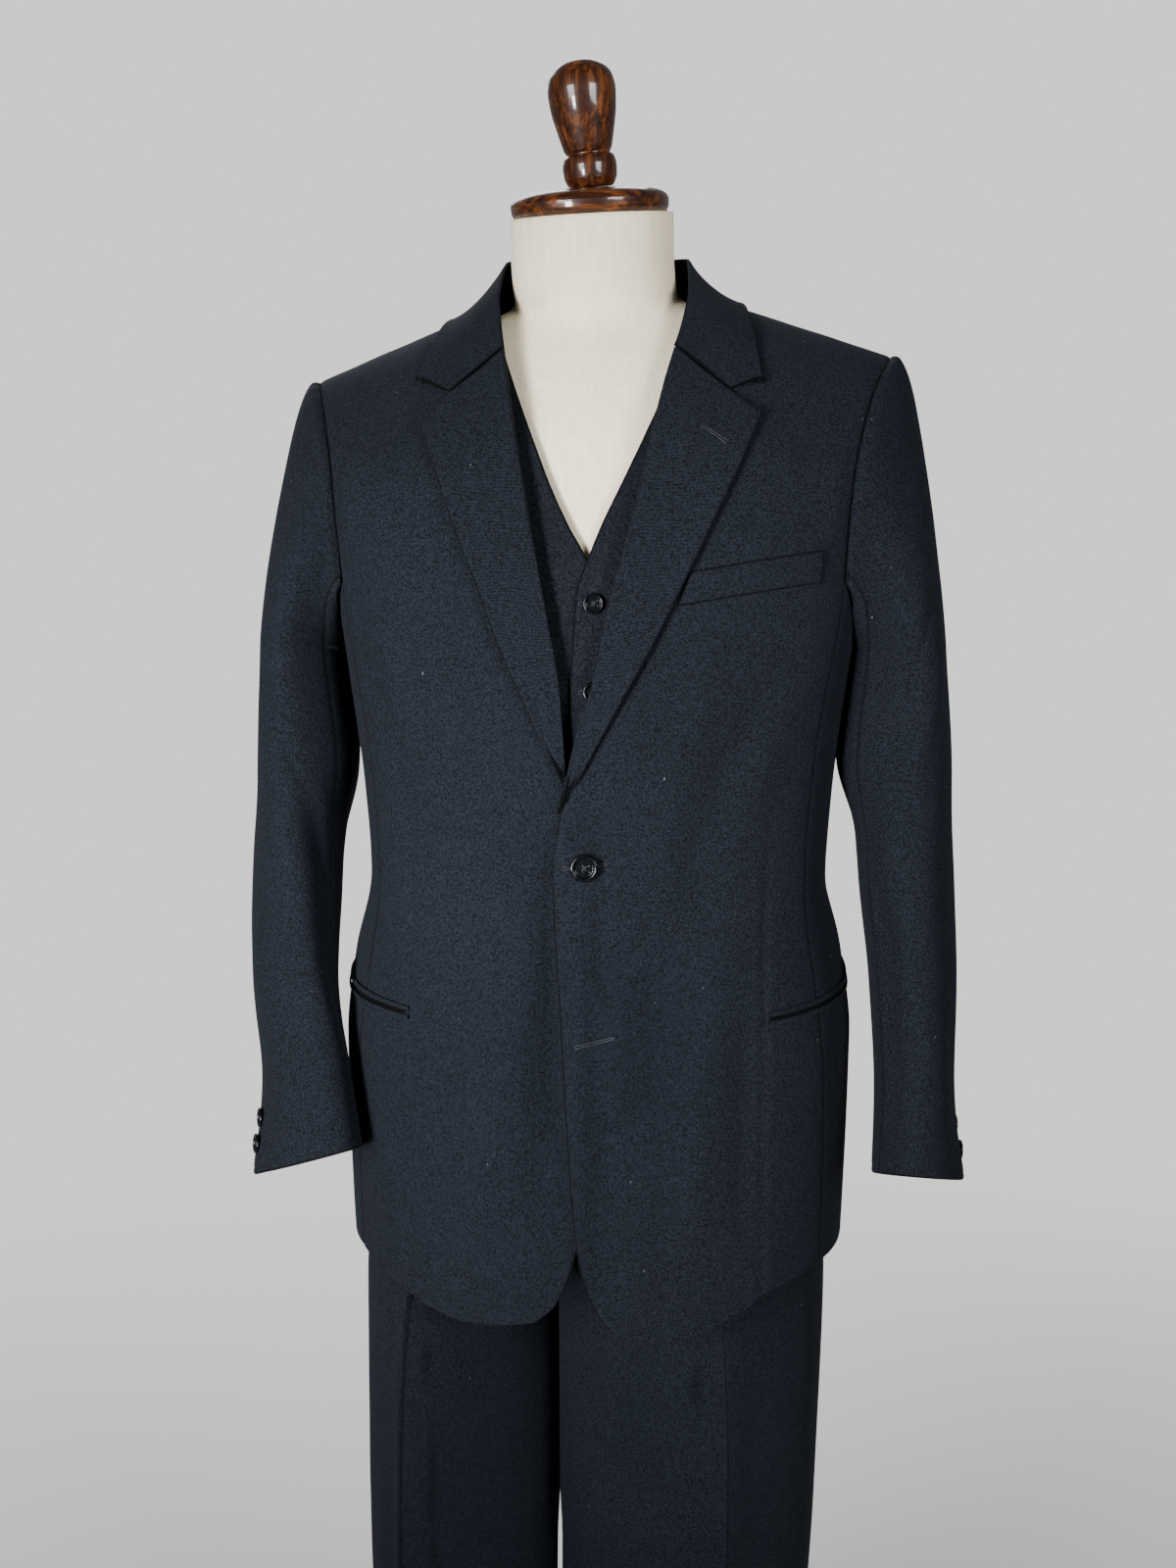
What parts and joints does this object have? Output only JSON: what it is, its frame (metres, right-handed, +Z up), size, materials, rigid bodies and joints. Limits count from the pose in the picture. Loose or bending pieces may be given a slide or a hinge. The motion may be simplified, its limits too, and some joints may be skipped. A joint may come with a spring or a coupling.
{
  "type": "three-piece suit on dress form",
  "caption": "Single-breasted notch-lapel jacket, waistcoat and straight trousers of dark worsted wool, hung on a limbless dress form with neck cap, pole and round foot.",
  "frame": {"origin": "centre of the foot plate's underside, on the floor", "axes": "+Z up, -Y to the front of the suit, +X to the wearer's left"},
  "size_m": [0.5632, 0.36, 1.6674],
  "materials": {
    "wool": "matt worsted",
    "button": "polished",
    "linen": "plain weave, stretched and glued",
    "wood": "lacquered",
    "steel": "satin black"
  },
  "bodies": {
    "root": {"breast_welt": "wool", "collar": "wool", "finial": "wood", "foot_plate": "steel", "form_torso": "linen", "hip_jet_lower_left": "wool", "hip_jet_lower_right": "wool", "hip_jet_upper_left": "wool", "hip_jet_upper_right": "wool", "jacket_back_left": "wool", "jacket_back_right": "wool", "jacket_button_lower": "button", "jacket_button_upper": "button", "jacket_front_left": "wool", "jacket_front_right": "wool", "jacket_side_left": "wool", "jacket_side_right": "wool", "lapel_left": "wool", "lapel_right": "wool", "neck_cap": "wood", "pole": "steel", "sleeve_button_left_1": "button", "sleeve_button_left_2": "button", "sleeve_button_right_1": "button", "sleeve_button_right_2": "button", "top_sleeve_left": "wool", "top_sleeve_right": "wool", "trouser_back_left": "wool", "trouser_back_right": "wool", "trouser_front_left": "wool", "trouser_front_right": "wool", "under_sleeve_left": "wool", "under_sleeve_right": "wool", "waistband": "wool", "waistcoat_back": "wool", "waistcoat_button_1": "button", "waistcoat_button_2": "button", "waistcoat_button_3": "button", "waistcoat_button_4": "button", "waistcoat_button_5": "button", "waistcoat_front_left": "wool", "waistcoat_front_right": "wool"}
  },
  "joints": []
}
